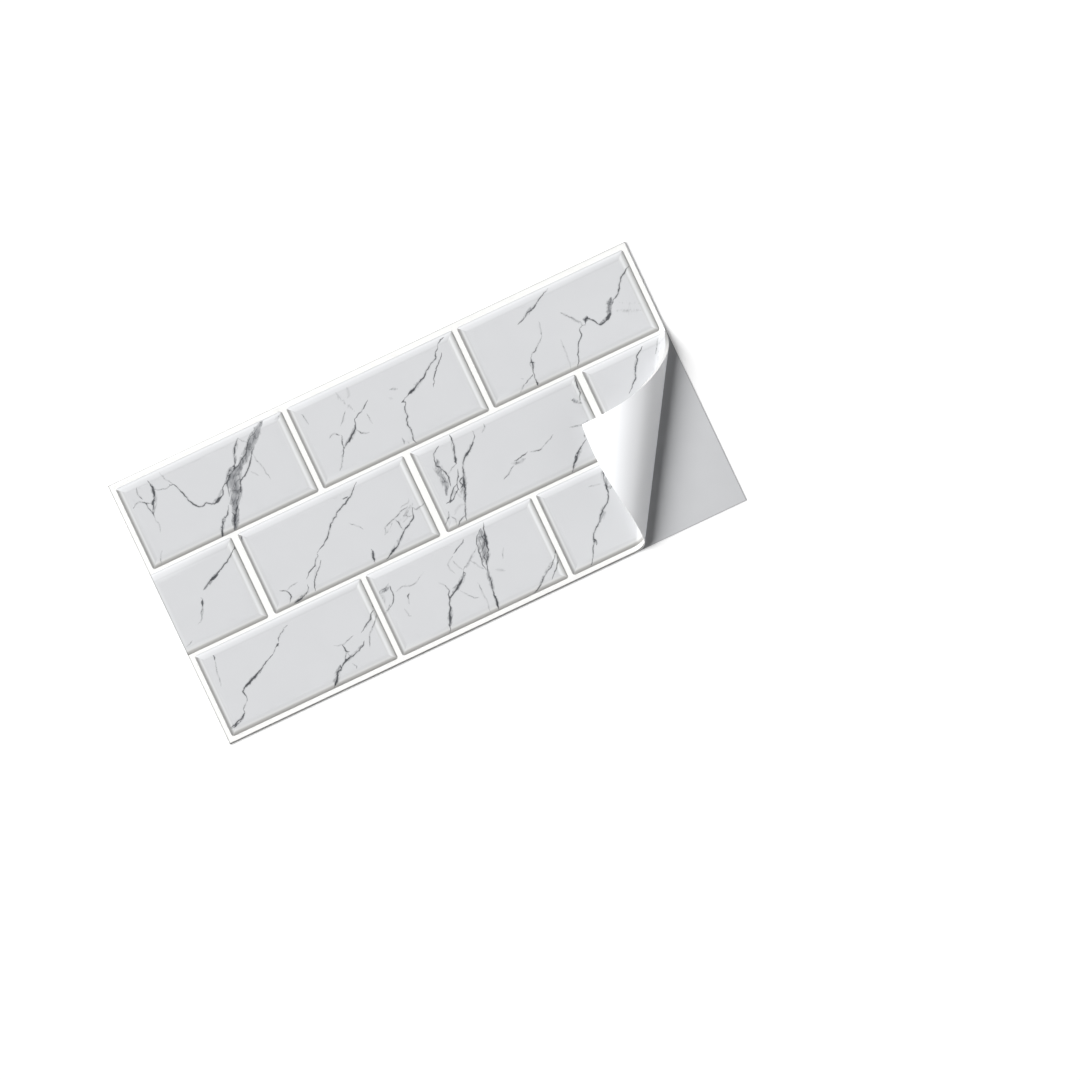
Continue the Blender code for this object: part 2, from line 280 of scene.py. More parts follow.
        ((166, 80.5), (167.5, 81.5), (169.5, 83), (172, 84)),
        ((160, 88), (161, 83), (163, 79.5), (162, 75)),
        ((158, 60), (159.5, 57), (158.5, 54.5)),
        ((165.8, 70.5), (166.5, 68), (167.5, 66)),
        ((226, 76), (222, 74), (219, 72.5)),
        ((242.5, 88.5), (244.5, 86), (246.3, 84.5)),
        ((249, 86), (250, 83)),
        ((256.5, 95.5), (255.5, 94), (254.3, 92.5)),
        ((11, 44.5), (10.5, 43), (9.8, 40.5), (9.3, 38.5), (9, 36), (8.7, 33.5), (7.8, 30.5)),
        ((45.5, 38), (43.5, 37), (41, 34.8), (40, 34)),
        ((71.5, 24.2), (74, 23.2), (76, 22.5), (78, 23), (80.5, 24), (83.5, 24.7)),
        ((76.5, 18), (77, 16), (78, 15)),
        ((76.5, 11.5), (77.3, 10), (78, 9), (77.3, 7.8)),
        ((106.5, 38.8), (109, 39), (111.5, 39.5)),
        ((107.5, 29.7), (105, 28.5), (103, 28)),
        ((118.5, 30), (118, 28.5), (117.7, 27)),
        ((114, 26), (114.5, 24.5), (114.7, 22.5), (114.5, 21.5), (116, 20.8)),
        ((149.5, 40.3), (147, 38.5), (145, 37), (145.3, 34.5), (146.5, 31.5)),
        ((148.5, 38), (149.5, 34), (151, 31.5)),
        ((163, 39), (160.5, 37), (157.5, 35.3), (155.5, 33.5), (153, 32), (151.5, 30.7)),
        ((136.5, 31), (138, 29.3), (139.3, 27.5)),
        ((145.5, 21.5), (147, 19.5), (148.5, 17.5), (150.5, 15), (153, 14)),
        ((155.5, 22), (156, 18), (155.3, 14.5), (156, 12), (155.5, 8), (154.8, 4)),
        ((157, 34), (158.5, 31.5), (160, 29), (161.5, 27)),
        ((176, 33), (174.5, 30), (173.3, 27.5)),
        ((231, 42.5), (234, 42), (238, 41)),
        ((114, 35.8), (116, 36.5), (118.5, 37), (121, 36), (123.5, 35.5), (126, 36), (129, 37.5)),
        ((270, 41), (266, 36), (262, 33)),
    )),
    "faint": (0.5, 0.66, (
        ((158.5, 135), (161, 133.8)),
        ((155, 131), (157, 129.7)),
        ((137, 146), (136.5, 142), (135, 140.5)),
        ((105.5, 38.5), (107, 36), (106, 33)),
        ((167, 24), (169.5, 22.5), (171.5, 21.3)),
        ((160, 60), (163, 62.5), (167, 63)),
        ((199, 71.5), (203, 70), (207, 70.5)),
    )),
    "clump": (0.52, 1.2, (
        ((20.5, 143), (19.6, 137.5)),
        ((18, 135.6), (16.4, 133.8)),
        ((46.5, 120), (51.5, 121.8)),
        ((44.2, 105.5), (42.8, 102.6)),
        ((130.5, 123), (125.5, 119.5)),
        ((170.5, 130.5), (165.5, 128.6)),
        ((269.3, 124.8), (267.2, 123.2)),
        ((281, 121.5), (278, 119)),
        ((30.5, 84.8), (27, 83.9)),
        ((18.4, 76), (17.6, 73.8)),
        ((173.6, 88), (172.6, 84.5)),
        ((181, 87), (177, 84.2)),
        ((172.4, 74.5), (171, 71)),
        ((124, 57.3), (119.5, 55)),
        ((67, 54.2), (63, 53.8)),
        ((112, 61), (110.6, 56)),
        ((232.6, 60.2), (230.2, 57.4)),
        ((45.6, 38), (43.6, 37.2)),
        ((28, 28), (20.5, 25)),
        ((67, 9), (63.5, 4.8)),
        ((99.4, 35), (99.4, 33.6)),
        ((46.3, 95), (46.2, 93.6)),
        ((148.5, 26.5), (143, 22.9)),
        ((135, 13), (133, 8.6)),
        ((200.4, 19.8), (199.8, 18.2)),
        ((170.2, 44), (168.4, 37)),
        ((160.6, 11), (160, 5)),
        ((229.9, 105), (229.9, 103)),
    )),
}

# Smoky grey patches of the print: half width in mm, tone, and route in mm from the sheet's lower left corner
SMOKE = (
    (3.4, 0.95, ((88, 149), (84, 146), (78.5, 141), (74.5, 137.5), (70, 134), (66, 131.5))),
    (5.6, 1.0, ((67.5, 132.3), (62.5, 129.5), (60, 126), (59.5, 122))),
    (4.8, 1.0, ((61.5, 126), (59.5, 121), (57.5, 117), (55.8, 113))),
    (2.9, 1.0, ((57, 116), (54.5, 110.5), (52.5, 107), (50.6, 103))),
    (2.2, 0.5, ((72, 145.5), (68, 140), (66, 135))),
    (2.2, 0.45, ((49, 111.5), (45.5, 108), (43, 103))),
    (2.2, 0.4, ((20.5, 144), (19, 136), (15, 129.5))),
    (2.6, 0.4, ((45, 120.5), (50, 121.5), (54, 125.5))),
    (2.4, 0.5, ((132, 125), (128, 121), (123, 118.5))),
    (1.8, 0.3, ((121, 117), (117, 110.5))),
    (2.2, 0.3, ((130.3, 146), (132, 140), (135.5, 132.5))),
    (2.2, 0.3, ((130, 134), (126.5, 129.5))),
    (1.8, 0.4, ((157.5, 135), (161.5, 133.8))),
    (2.6, 0.4, ((95, 147), (99, 148))),
    (2.4, 0.5, ((176, 133), (166, 128.5))),
    (1.6, 0.4, ((152.5, 108), (152, 105.5))),
    (3.2, 0.66, ((285, 128.5), (282.5, 125.5), (281, 122.5), (279.8, 120))),
    (2.0, 0.45, ((280, 120.5), (276, 119), (273.5, 118.6))),
    (2.4, 0.8, ((270, 123.5), (268, 124.4), (266.8, 122.6))),
    (3.4, 0.26, ((283.5, 121.5), (290, 119), (297, 115.5))),
    (2.8, 0.22, ((288, 124.5), (298, 119))),
    (1.8, 0.36, ((257, 133), (261, 128.5), (265, 122.5))),
    (2.2, 0.42, ((248, 143), (243, 141), (236, 138))),
    (1.8, 0.35, ((245, 133), (243.2, 127))),
    (2.2, 0.4, ((233, 117), (231, 112))),
    (2.0, 0.5, ((34, 86.5), (28, 84), (21.5, 81))),
    (1.8, 0.4, ((17.5, 74), (14.5, 68.5))),
    (3.4, 0.2, ((118, 96), (100, 85.5))),
    (3.8, 0.55, ((164, 90.5), (162.6, 86), (162.8, 80), (162.4, 75), (160.5, 71))),
    (2.0, 0.4, ((175.6, 97), (173.8, 89), (172.5, 84))),
    (2.4, 0.45, ((186, 90.5), (178, 85))),
    (3.8, 0.5, ((174, 78), (171, 72), (168, 65))),
    (2.4, 0.35, ((166, 72), (159, 67))),
    (2.4, 0.35, ((167, 61), (164.5, 55))),
    (1.8, 0.25, ((82, 67), (77, 60.5))),
    (2.0, 0.4, ((72, 56), (62, 53.8))),
    (4.4, 0.28, ((131, 69), (137, 72), (142, 75))),
    (2.6, 0.3, ((122.5, 66), (128, 70))),
    (2.0, 0.5, ((112, 62), (110.5, 55))),
    (2.4, 0.4, ((131, 63), (124, 57.5), (118, 54.5))),
    (2.2, 0.4, ((199, 71), (207, 70.5))),
    (2.4, 0.2, ((196, 68), (191, 65))),
    (2.8, 0.4, ((237, 64), (228, 55))),
    (2.0, 0.45, ((242.5, 89.5), (245, 86), (247, 84.5))),
    (1.8, 0.3, ((249, 98), (248.4, 90))),
    (2.6, 0.3, ((283, 93), (278, 84))),
    (4.2, 0.26, ((300.2, 97.5), (298, 94), (294.8, 88.6), (289.9, 80.6))),
    (2.0, 0.5, ((31, 28.5), (25, 26.8), (18.5, 24))),
    (1.8, 0.4, ((12.5, 11), (8, 9), (3, 7.8))),
    (2.0, 0.35, ((97, 30.5), (90, 25.5))),
    (2.2, 0.4, ((86, 18), (79, 15), (73, 14))),
    (2.8, 0.6, ((70.5, 13), (67, 9.5), (63, 4.5))),
    (2.2, 0.3, ((76.5, 21), (76.8, 17))),
    (2.0, 0.22, ((113, 35.6), (118.5, 37), (124, 35.6), (129, 37.5), (134, 40.2))),
    (2.4, 0.45, ((106, 39), (112, 39.5))),
    (3.0, 0.3, ((108, 31), (103.5, 28))),
    (2.6, 0.55, ((151, 30), (147, 25), (141.5, 22.6))),
    (2.6, 0.6, ((137, 16), (134.5, 11.5), (132, 7))),
    (2.2, 0.3, ((162, 38.5), (157, 34.5), (152, 31))),
    (2.4, 0.3, ((157, 34), (161.5, 27))),
    (4.6, 0.62, ((169, 46), (167, 40), (165.5, 34), (163.5, 29))),
    (2.2, 0.6, ((163.2, 26), (162, 19), (161, 14))),
    (1.4, 0.6, ((160.6, 12), (159.8, 4))),
    (2.6, 0.22, ((155.8, 20), (155, 7))),
    (2.2, 0.35, ((197, 15), (188, 9), (183, 5))),
    (3.0, 0.5, ((243, 48), (240.6, 43), (239.6, 38))),
    (2.6, 0.35, ((239, 37.5), (245, 38.5))),
    (2.8, 0.5, ((235, 30), (228.5, 23))),
    (2.0, 0.5, ((222, 17.5), (221.5, 13.5))),
    (3.4, 0.25, ((289, 36), (276, 24))),
)

# Mesh strips of the print: a vein's reach in half widths, the step along it in mm, the share of it over which
# each end tapers, the share of its width left at the tip, the size and amount in mm of its wandering, and the
# seed that makes the wandering the same in every run
VEIN_REACH = 3.0
VEIN_STEP = 0.6
VEIN_END_TAPER = 0.22
VEIN_TIP_WIDTH = 0.35
WANDER = ((2.2, 0.4), (0.8, 0.28))
WANDER_SEED = 7
STRIP_SEED = 7.3

# The rest of the mesh: the angle between the lines of the roll, the insets in mm of the lines round a tile,
# the steps of its round corners, the spacing in mm of the points between, the gap in mm under which points
# merge, how many places a strand is laid on at once, and the angle past which an edge is shaded sharp
RULING_ANGLE = math.radians(4.5)
CONTOURS = (-0.3, 0.0, 0.2, 0.4, 0.6, 0.9, 3.6, 4.0, 4.5, 5.0)
CORNER_STEPS = 5
FILL_STEP = 2.6
MERGE = 0.004
PLACES_AT_ONCE = 2000
SHARP = math.radians(50.0)

# Display colours, 0 to 255
JOINT_COLOUR = (248, 248, 246)
EDGE_SHADOW_COLOUR = (110, 110, 108)
VEIN_DARK = (66, 68, 72)
VEIN_GREY = (118, 120, 124)
ADHESIVE_COLOUR = (246, 247, 249)
CUT_FILM_COLOUR = (232, 232, 231)
LINER_COLOUR = (197, 198, 200)
LINER_EDGE_SHADE = (120, 121, 124)
FLOOR_COLOUR = (235, 235, 235)

# Painted shade and highlight on a tile's four bevels, on top of the shading that their real relief takes from
# the lamps: darker lines along the left, right and lower edges and a lighter band along the upper edge.
# Distance in from the edge in mm, and the display colour there
BEVEL_SHADE_BANDS = {
    "left": ((0.0, (156, 156, 154)), (0.6, (138, 138, 137)), (1.0, (144, 144, 143)), (1.5, (174, 174, 174)),
             (2.0, (202, 203, 203)), (2.4, (210, 211, 212)), (3.2, (198, 199, 200)), (4.2, (204, 205, 207)),
             (5.0, (212, 213, 215))),
    "right": ((0.0, (174, 174, 172)), (0.7, (196, 196, 195)), (1.2, (204, 204, 203)), (1.6, (214, 214, 214)),
              (2.2, (233, 234, 234)), (2.8, (241, 242, 243)), (3.3, (235, 236, 237)), (4.1, (217, 218, 219)),
              (5.0, (212, 213, 215))),
    "lower": ((0.0, (174, 173, 170)), (0.8, (174, 173, 171)), (1.2, (179, 178, 176)), (1.6, (190, 190, 188)),
              (2.1, (214, 214, 213)), (2.6, (223, 223, 223)), (3.2, (217, 218, 219)), (5.0, (212, 213, 215))),
    "upper": ((0.0, (214, 215, 217)), (0.3, (205, 206, 208)), (0.9, (233, 234, 236)), (1.5, (227, 228, 230)),
              (2.3, (220, 221, 223)), (3.4, (215, 216, 218)), (4.3, (206, 207, 209)), (5.0, (212, 213, 215))),
}
BEVEL_SHADE_RUN = 5.0

# Painted edge shadow: a dark line along the sheet's four sides, widest and strongest on the lower side. How
# far in it is solid and gone, in mm, and its strength
EDGE_SHADOW_LINES = {
    "left": (0.25, 0.7, 0.6),
    "right": (0.1, 0.5, 0.55),
    "lower": (0.45, 0.85, 1.0),
    "upper": (0.1, 0.5, 0.55),
}

# Noise of the print, in cells to the metre: streaks of the smoky patches, ink flecks, pinches along the veins
# and the web of threads with its bend in cells. Then the way in plan that the streaks run, and the share of
# their frequency that they keep along it
STREAK_SCALE = 480.0
FLECK_SCALE = 1300.0
PINCH_SCALE = 300.0
WEB_SCALE = 330.0
WEB_BEND = 1.6
STREAK_WAY = Vector((0.62, 0.78, 0.0))
STREAK_STRETCH = 0.4

# Lamps: energy, angular size, elevation, and the side they stand on along the line across the peel
LAMPS = {
    "key": (4.15, math.radians(38.0), math.radians(46.0), -1.0),
    "fill": (0.72, math.radians(50.0), math.radians(25.0), 1.0),
}
SURROUND = 0.02

# Camera, straight above: its height, the width of ground that it sees, the centre of that ground and its turn
CAMERA_HEIGHT = 3.0
VIEW_WIDTH = 0.57627
VIEW_CENTRE = (0.04367, -0.04828)
VIEW_TURN = math.radians(-25.31)

# Floor, just under the liner, and how much it glows to the camera and in gloss
FLOOR_SIZE = 6.0
FLOOR_DROP = 0.2 * MM
FLOOR_GLOW = 0.2


class Term:
    """A socket of a node tree, which sums, products and the like extend with Math nodes."""

    def __init__(self, tree, socket):
        self.tree = tree
        self.socket = socket

    def made(self, operation, *others):
        node = self.tree.nodes.new("ShaderNodeMath")
        node.operation = operation
        for socket, value in zip(node.inputs, (self, *others)):
            feed(self.tree, socket, value)
        return Term(self.tree, node.outputs[0])

    def __add__(self, other):
        return self.made("ADD", other)

    def __sub__(self, other):
        return self.made("SUBTRACT", other)

    def __mul__(self, other):
        return self.made("MULTIPLY", other)

    def __truediv__(self, other):
        return self.made("DIVIDE", other)

    def __pow__(self, other):
        return self.made("POWER", other)

    def __neg__(self):
        return self.made("MULTIPLY", -1.0)

    def __abs__(self):
        return self.made("ABSOLUTE")

    def __rsub__(self, other):
        return -self + other

    def least(self, other):
        return self.made("MINIMUM", other)

    def most(self, other):
        return self.made("MAXIMUM", other)

    def below(self, other):
        return self.made("LESS_THAN", other)

    def rounded(self):
        return self.made("ROUND")

    def ramp(self, low, high, start=0.0, end=1.0, style="SMOOTHSTEP"):
        """start at low, end at high, and held past both."""
        node = self.tree.nodes.new("ShaderNodeMapRange")
        node.interpolation_type = style
        names = ("Value", "From Min", "From Max", "To Min", "To Max")
        for name, value in zip(names, (self, low, high, start, end)):
            feed(self.tree, node.inputs[name], value)
        return Term(self.tree, node.outputs[0])


class Arrow(Term):
    """A vector socket of a node tree."""

    def vector(self, operation, *others):
        node = self.tree.nodes.new("ShaderNodeVectorMath")
        node.operation = operation
        for socket, value in zip(node.inputs, (self, *others)):
            feed(self.tree, socket, value)
        return node

    def arrow(self, operation, other):
        return Arrow(self.tree, self.vector(operation, other).outputs[0])

    def __add__(self, other):
        return self.arrow("ADD", other)

    def __sub__(self, other):
        return self.arrow("SUBTRACT", other)

    def __mul__(self, other):
        node = self.vector("SCALE")
        feed(self.tree, node.inputs["Scale"], other)
        return Arrow(self.tree, node.outputs[0])

    def dot(self, other):
        return Term(self.tree, self.vector("DOT_PRODUCT", other).outputs["Value"])

    def cross(self, other):
        return self.arrow("CROSS_PRODUCT", other)

    def length(self):
        return Term(self.tree, self.vector("LENGTH").outputs["Value"])

    def turned(self, axis, angle):
        node = self.tree.nodes.new("ShaderNodeVectorRotate")
        for name, value in (("Vector", self), ("Axis", axis), ("Angle", angle)):
            feed(self.tree, node.inputs[name], value)
        return Arrow(self.tree, node.outputs[0])

    def parts(self):
        node = self.tree.nodes.new("ShaderNodeSeparateXYZ")
        feed(self.tree, node.inputs[0], self)
        return [Term(self.tree, socket) for socket in node.outputs]


def feed(tree, socket, value):
    """Links a term to a socket, or sets the socket to a plain value."""
    if isinstance(value, Term):
        tree.links.new(value.socket, socket)
    else:
        socket.default_value = value


def arrow_of(tree, x, y, z):
    node = tree.nodes.new("ShaderNodeCombineXYZ")
    for socket, value in zip(node.inputs, (x, y, z)):
        feed(tree, socket, value)
    return Arrow(tree, node.outputs[0])


def add_inputs(tree, sockets):
    """Named inputs of a tree, from name, socket type and default value. Returns them as terms by name."""
    for name, kind, value in sockets:
        socket = tree.interface.new_socket(name=name, in_out="INPUT", socket_type=kind)
        if value is not None:
            socket.default_value = value
    node = tree.nodes.new("NodeGroupInput")
    terms = {}
    for name, kind, value in sockets:
        holder = Arrow if kind == "NodeSocketVector" else Term
        terms[name] = holder(tree, node.outputs[name])
    return terms


# Inputs that the tree of the sheet and the group of the print's courses share
TILE_SIZES = (
    ("Tile Length", "NodeSocketFloat", TILE_LENGTH),
    ("Tile Width", "NodeSocketFloat", TILE_WIDTH),
    ("Head Joint", "NodeSocketFloat", HEAD_JOINT),
    ("Bed Joint", "NodeSocketFloat", BED_JOINT),
    ("Middle Head Joint", "NodeSocketFloat", MIDDLE_HEAD_JOINT),
    ("Middle Course Shift", "NodeSocketFloat", MIDDLE_COURSE_SHIFT),
    ("Corner Radius", "NodeSocketFloat", CORNER_RADIUS),
)


def tile_sides(place, size):
    """How far a place of the flat sheet lies inside its tile's left, right, lower and upper edge."""
    x, y, z = place.parts()
    last_course = (COURSES - 1) / 2
    last_tile = (TILES_PER_COURSE - 1) / 2
    course_pitch = size["Tile Width"] + size["Bed Joint"]
    course = (y / course_pitch).rounded().most(-last_course).least(last_course)
    shifted = 1.0 - abs(course)
    joint = size["Head Joint"] + shifted * (size["Middle Head Joint"] - size["Head Joint"])
    pitch = size["Tile Length"] + joint
    along = (x - shifted * size["Middle Course Shift"]) / pitch - shifted * 0.5
    tile = along.rounded().most(-last_tile - shifted).least(last_tile)
    across = y - course * course_pitch
    along = (along - tile) * pitch
    half_length = size["Tile Length"] * 0.5
    half_width = size["Tile Width"] * 0.5
    return half_length + along, half_length - along, half_width + across, half_width - across


def tile_inset(sides, radius):
    """How far a place lies inside its tile's outline, whose corners are round."""
    left, right, lower, upper = sides
    x = radius - left.least(right)
    y = radius - lower.least(upper)
    round_part = arrow_of(x.tree, x.most(0.0), y.most(0.0), 0.0).length()
    return radius - round_part - x.most(y).least(0.0)


def peel_turn(plan, size):
    """The plan angle about the apex from the peel line to a place. It is negative where the sheet is flat."""
    way = plan - size["Apex"]
    across = size["Peel Line"].cross(UP)
    return way.dot(across).made("ARCTAN2", way.dot(size["Peel Line"]))


def rolled(plan, turn, height, size):
    """Where a place of the flat sheet, at a height over its underside, goes when the corner is peeled."""
    stretch = (turn.most(0.0) / size["Corner Turn"]) ** 2.0 * size["Tip Stretch"] + 1.0
    reach = (plan - size["Apex"]).length() * stretch
    along = size["Peel Line"]
    across = along.cross(UP)
    up = arrow_of(plan.tree, 0.0, 0.0, 1.0)
    remaining = turn
    for bend in BEND_NAMES:
        ratio = size[bend + " Bend Radius"] / size["Apex Distance"]
        used = remaining.least(size[bend + " Bend Angle"] * ratio).most(0.0)
        axis = along * ratio.made("ARCSINE").made("COSINE") + up * ratio
        angle = -(used / ratio)
        along, across, up = [arrow.turned(axis, angle) for arrow in (along, across, up)]
        remaining = remaining - used
    along = along * remaining.made("COSINE") + across * remaining.made("SINE")
    return size["Apex"] + along * reach + up * height


def sheet_tree(materials):
    """The tree that embosses a flat slab with tiles, fills the adhesive and rolls the corner back."""
    tree = bpy.data.node_groups.new("embossed_rolled_sheet", "GeometryNodeTree")
    tree.interface.new_socket(name="Geometry", in_out="OUTPUT", socket_type="NodeSocketGeometry")
    size = add_inputs(tree, (
        ("Slab", "NodeSocketGeometry", None),
        *TILE_SIZES,
        ("Sheet Length", "NodeSocketFloat", SHEET_LENGTH),
        ("Sheet Width", "NodeSocketFloat", SHEET_WIDTH),
        ("Film Thickness", "NodeSocketFloat", FILM_THICKNESS),
        ("Underside", "NodeSocketFloat", UNDERSIDE),
        ("Adhesive Fill", "NodeSocketFloat", ADHESIVE_FILL),
        ("Foot Rise", "NodeSocketFloat", FOOT_RISE),
        ("Foot Run", "NodeSocketFloat", FOOT_RUN),
        ("Bevel Rise", "NodeSocketFloat", BEVEL_RISE),
        ("Bevel Run", "NodeSocketFloat", BEVEL_RUN),
        ("Edge Drop", "NodeSocketFloat", EDGE_DROP),
        ("Edge Run", "NodeSocketFloat", EDGE_RUN),
        ("Apex", "NodeSocketVector", APEX),
        ("Peel Line", "NodeSocketVector", PEEL_LINE),
        ("Apex Distance", "NodeSocketFloat", APEX_BEYOND_SIDE),
        *[(name + " Bend Radius", "NodeSocketFloat", bend[0]) for name, bend in zip(BEND_NAMES, BENDS)],
        *[(name + " Bend Angle", "NodeSocketFloat", bend[1]) for name, bend in zip(BEND_NAMES, BENDS)],
        ("Corner Turn", "NodeSocketFloat", CORNER_TURN),
        ("Tip Stretch", "NodeSocketFloat", TIP_STRETCH),
    ))
    place = Arrow(tree, tree.nodes.new("GeometryNodeInputPosition").outputs[0])
    x, y, z = place.parts()
    plan = arrow_of(tree, x, y, 0.0)

    inset = tile_inset(tile_sides(plan, size), size["Corner Radius"])
    foot = inset.ramp(0.0, size["Foot Run"]) * size["Foot Rise"]
    share = ((inset - size["Foot Run"]) / size["Bevel Run"]).most(0.0)
    bevel = share.made("SMOOTH_MIN", 1.0, BEVEL_EASE).least(1.0) * size["Bevel Rise"]
    to_edge = (size["Sheet Length"] * 0.5 - abs(x)).least(size["Sheet Width"] * 0.5 - abs(y))
    edge = to_edge.ramp(0.0, size["Edge Run"], 1.0, 0.0) * size["Edge Drop"]
    face_height = size["Film Thickness"] + foot + bevel - edge

    turn = peel_turn(plan, size)
    stuck = turn.ramp(-ADHESIVE_EDGE_TURN, 0.0, 1.0, 0.0)
    back_height = stuck * size["Adhesive Fill"] * -1.0
    upper_side = z.made("GREATER_THAN", 0.0)
    height = back_height + upper_side * (face_height - back_height)
    goal = rolled(plan, turn, height, size) + arrow_of(tree, 0.0, 0.0, size["Underside"])

    normal = Arrow(tree, tree.nodes.new("GeometryNodeInputNormal").outputs[0])
    captured = tree.nodes.new("GeometryNodeCaptureAttribute")
    captured.domain = "FACE"
    captured.capture_items.new("FLOAT", "Looks Up")
    feed(tree, captured.inputs["Geometry"], size["Slab"])
    feed(tree, captured.inputs["Looks Up"], normal.parts()[2])
    facing = Term(tree, captured.outputs["Looks Up"])

    store = tree.nodes.new("GeometryNodeStoreNamedAttribute")
    store.data_type = "FLOAT_VECTOR"
    store.domain = "POINT"
    store.inputs["Name"].default_value = "flat_place"
    tree.links.new(captured.outputs["Geometry"], store.inputs["Geometry"])
    feed(tree, store.inputs["Value"], plan)

    move = tree.nodes.new("GeometryNodeSetPosition")
    tree.links.new(store.outputs["Geometry"], move.inputs["Geometry"])
    feed(tree, move.inputs["Position"], goal)
    realize = tree.nodes.new("GeometryNodeRealizeInstances")
    tree.links.new(move.outputs["Geometry"], realize.inputs["Geometry"])
    last = realize
    chosen = (
        (materials["edge"], None),
        (materials["face"], facing.made("GREATER_THAN", 0.5)),
        (materials["back"], facing.below(-0.5)),
    )
    for material, where in chosen:
        node = tree.nodes.new("GeometryNodeSetMaterial")
        node.inputs["Material"].default_value = material
        if where is not None:
            feed(tree, node.inputs["Selection"], where)
        tree.links.new(last.outputs["Geometry"], node.inputs["Geometry"])
        last = node
    output = tree.nodes.new("NodeGroupOutput")
    tree.links.new(last.outputs["Geometry"], output.inputs["Geometry"])
    return tree


def from_corner(points):
    """Places read off in mm from the sheet's lower left corner, as places in mm from its centre."""
    x, y = (np.array(points, float) - (SHEET_LENGTH / 2 / MM, SHEET_WIDTH / 2 / MM)).T * READ_SCALE
    turn_x, turn_y = math.cos(READ_TURN), math.sin(READ_TURN)
    return np.stack([x * turn_x - y * turn_y, x * turn_y + y * turn_x], 1) + READ_SHIFT


def wandering(route, step, seed):
    """Points a step apart along a route, moved aside by noise the way a vein wanders."""
    corners = from_corner(route)
    spans = np.hypot(*np.diff(corners, axis=0).T)
    reach = np.concatenate(([0.0], np.cumsum(spans)))
    count = max(3, int(reach[-1] / step) + 1)
    at = np.linspace(0.0, reach[-1], count)
    line = np.stack([np.interp(at, reach, corners[:, axis]) for axis in (0, 1)], 1)
    for point in line:
        spot = Vector((point[0], point[1], seed))
        for scale, amount in WANDER:
            aside = noise.noise_vector(spot / scale)
            point += (aside.x * amount, aside.y * amount)
    return line


class Strand:
    """One vein or patch of the print: its line in mm, its half width along it and its tone."""

    def __init__(self, route, half_width, tone, reach, step, seed):
        self.line = wandering(route, step, seed)
        share = np.linspace(0.0, 1.0, len(self.line))
        taper = np.clip(np.minimum(share, 1.0 - share) / VEIN_END_TAPER, 0.0, 1.0)
        self.reach = half_width * reach * (VEIN_TIP_WIDTH + (1.0 - VEIN_TIP_WIDTH) * taper)
        self.tone = tone

    def border(self):
        """The closed line round this strand, on which its value has fallen to nothing."""
        run = np.gradient(self.line, axis=0)
        run /= np.maximum(np.hypot(*run.T), 1e-9)[:, None]
        run *= self.reach[:, None]
        aside = np.stack([-run[:, 1], run[:, 0]], 1)
        turns = np.radians((45.0, 90.0, 135.0))
        cap = np.outer(np.cos(turns), aside[-1]) + np.outer(np.sin(turns), run[-1])
        start_cap = np.outer(np.cos(turns), aside[0]) + np.outer(np.sin(turns), run[0])
        left, right = self.line + aside, self.line - aside
        return np.concatenate((left, self.line[-1] + cap, right[::-1], self.line[0] - start_cap, left[:1]))

    def lay(self, places, values):
        """Raises the values at the places that this strand covers, from its edge to its middle."""
        most = self.reach.max()
        low, high = self.line.min(0) - most, self.line.max(0) + most
        near = np.flatnonzero(((places >= low) & (places <= high)).all(1))
        start, run = self.line[:-1], np.diff(self.line, axis=0)
        length = np.maximum((run ** 2).sum(1), 1e-12)
        for part in np.array_split(near, max(1, len(near) // PLACES_AT_ONCE)):
            offset = places[part][:, None] - start
            share = np.clip((offset * run).sum(2) / length, 0.0, 1.0)
            gap = np.hypot(*np.moveaxis(offset - share[..., None] * run, 2, 0))
            nearest = gap.argmin(1)
            rows = np.arange(len(part))
            start_reach, end_reach = self.reach[nearest], self.reach[nearest + 1]
            reach = start_reach + share[rows, nearest] * (end_reach - start_reach)
            value = self.tone * np.clip(1.0 - gap[rows, nearest] / reach, 0.0, 1.0)
            values[part] = np.maximum(values[part], value)


def all_strands():
    """Every vein and every smoky patch of the print."""
    noise.seed_set(WANDER_SEED)
    veins, smoke = [], []
    for kind, (half_width, tone, routes) in VEINS.items():
        for number, route in enumerate(routes):
            veins.append(Strand(route, half_width, tone, VEIN_REACH, VEIN_STEP, STRIP_SEED + number))
    for number, (half_width, tone, route) in enumerate(SMOKE):
        smoke.append(Strand(route, half_width, tone, 1.0, 2 * VEIN_STEP, -number))
    return veins, smoke


def tile_centres():
    """The centre of each tile in plan. The outline cuts the end tiles of the middle course."""
    for course in range(COURSES):
        y = (course - (COURSES - 1) / 2) * (TILE_WIDTH + BED_JOINT)
        shifted = course % 2 == 1
        pitch = TILE_LENGTH + (MIDDLE_HEAD_JOINT if shifted else HEAD_JOINT)
        count = TILES_PER_COURSE + 1 if shifted else TILES_PER_COURSE
        start = MIDDLE_COURSE_SHIFT if shifted else 0.0
        for place in range(count):
            yield start + (place - (count - 1) / 2) * pitch, y


def tile_contour(centre, inset):
    """The closed line, in mm, that runs a given inset inside one tile's outline."""
    radius = max(CORNER_RADIUS / MM - inset, 0.0)
    half = np.array((TILE_LENGTH, TILE_WIDTH)) / 2 / MM - inset - radius
    steps = CORNER_STEPS if radius else 0
    line = []
    for quarter, (x, y) in enumerate(((1, 1), (-1, 1), (-1, -1), (1, -1))):
        for step in range(steps + 1):
            angle = (quarter + (step / steps if steps else 0.0)) * math.pi / 2
            line.append(half * (x, y) + radius * np.array((math.cos(angle), math.sin(angle))))
    return np.array(line) + np.array(centre) / MM


